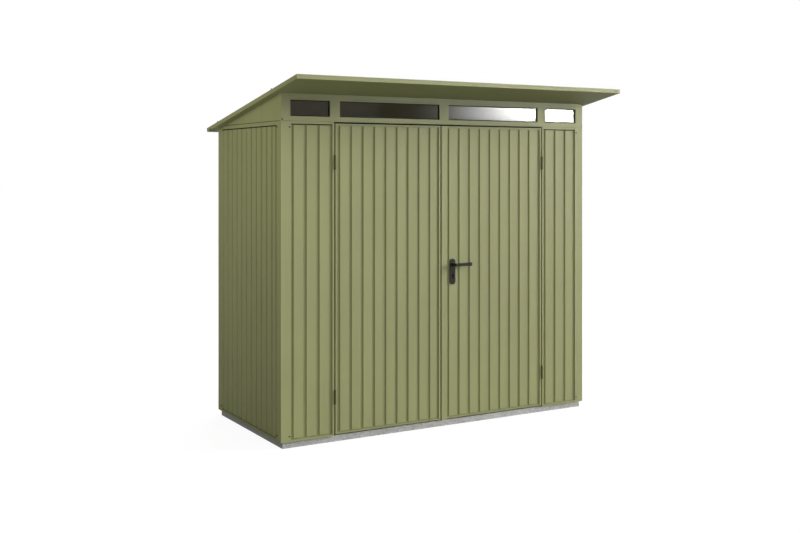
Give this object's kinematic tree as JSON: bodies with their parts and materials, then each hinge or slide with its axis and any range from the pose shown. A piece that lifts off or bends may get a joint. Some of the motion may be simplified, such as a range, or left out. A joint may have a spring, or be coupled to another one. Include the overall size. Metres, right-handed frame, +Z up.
{
  "type": "metal storage shed",
  "caption": "Green painted metal garden shed with a sloping roof, high windows and hinged doors that open outwards.",
  "frame": {"origin": "middle of the roof's plan, on the ground that the base frame stands on", "axes": "+X to the right as you face the doors, -Y out of the front wall towards the viewer, +Z up"},
  "size_m": [2.484, 1.5186, 2.2857],
  "materials": {
    "painted_wall": "semi-gloss green-grey paint on ribbed steel sheet",
    "painted_frame": "semi-gloss green-grey paint on folded steel",
    "painted_roof": "semi-gloss green-grey paint on steel roof sheet and trims",
    "galvanised": "dull galvanised steel",
    "window": "clear acrylic glazing",
    "black_plastic": "black moulded plastic",
    "bare_steel": "bright zinc-plated steel"
  },
  "bodies": {
    "shed": {"back_centre_post": "painted_frame", "back_panel_left": "painted_wall", "back_panel_right": "painted_wall", "base_rail_back": "galvanised", "base_rail_front": "galvanised", "base_rail_left": "galvanised", "base_rail_right": "galvanised", "corner_post_back_left": "painted_frame", "corner_post_back_right": "painted_frame", "corner_post_front_left": "painted_frame", "corner_post_front_right": "painted_frame", "door_jamb_left": "painted_frame", "door_jamb_right": "painted_frame", "eaves_fillers": "black_plastic", "floor_panels": "galvanised", "front_panel_left": "painted_wall", "front_panel_right": "painted_wall", "gable_panel_left": "painted_wall", "gable_panel_right": "painted_wall", "jamb_hinge_halves": "painted_frame", "roof_fascia": "painted_roof", "roof_sheet": "painted_roof", "roof_soffit": "painted_roof", "roof_verge_left": "painted_roof", "roof_verge_right": "painted_roof", "side_panel_left": "painted_wall", "side_panel_right": "painted_wall", "transom_head": "painted_frame", "transom_mullions": "painted_frame", "transom_sill": "painted_frame", "wall_bottom_rails": "painted_frame", "wall_top_rails": "painted_frame", "window_pane_1": "window", "window_pane_2": "window", "window_pane_3": "window", "window_pane_4": "window"},
    "door_left": {"door_left_frame": "painted_frame", "door_left_hinge_halves": "painted_frame", "door_left_panel": "painted_wall"},
    "door_right": {"door_right_frame": "painted_frame", "door_right_hinge_halves": "painted_frame", "door_right_panel": "painted_wall", "lock_case": "bare_steel", "lock_cylinder": "bare_steel", "lock_plates": "black_plastic"},
    "lever": {"lever_inside": "black_plastic", "lever_outside": "black_plastic"}
  },
  "joints": [
    {"name": "door_left_hinge", "type": "hinge", "parent": "shed", "child": "door_left", "pos_m": [-0.81985, -0.41833, 1], "axis": [0, 0, -1], "range_deg": [0, 110]},
    {"name": "door_right_hinge", "type": "hinge", "parent": "shed", "child": "door_right", "pos_m": [0.81985, -0.41833, 1], "axis": [0, 0, 1], "range_deg": [0, 110]},
    {"name": "lever_turn", "type": "hinge", "parent": "door_right", "child": "lever", "pos_m": [0.064, -0.41333, 1.085], "axis": [0, 1, 0], "range_deg": [0, 45], "stiffness_Nm_per_rad": 0.8, "springref_deg": -34.38}
  ]
}
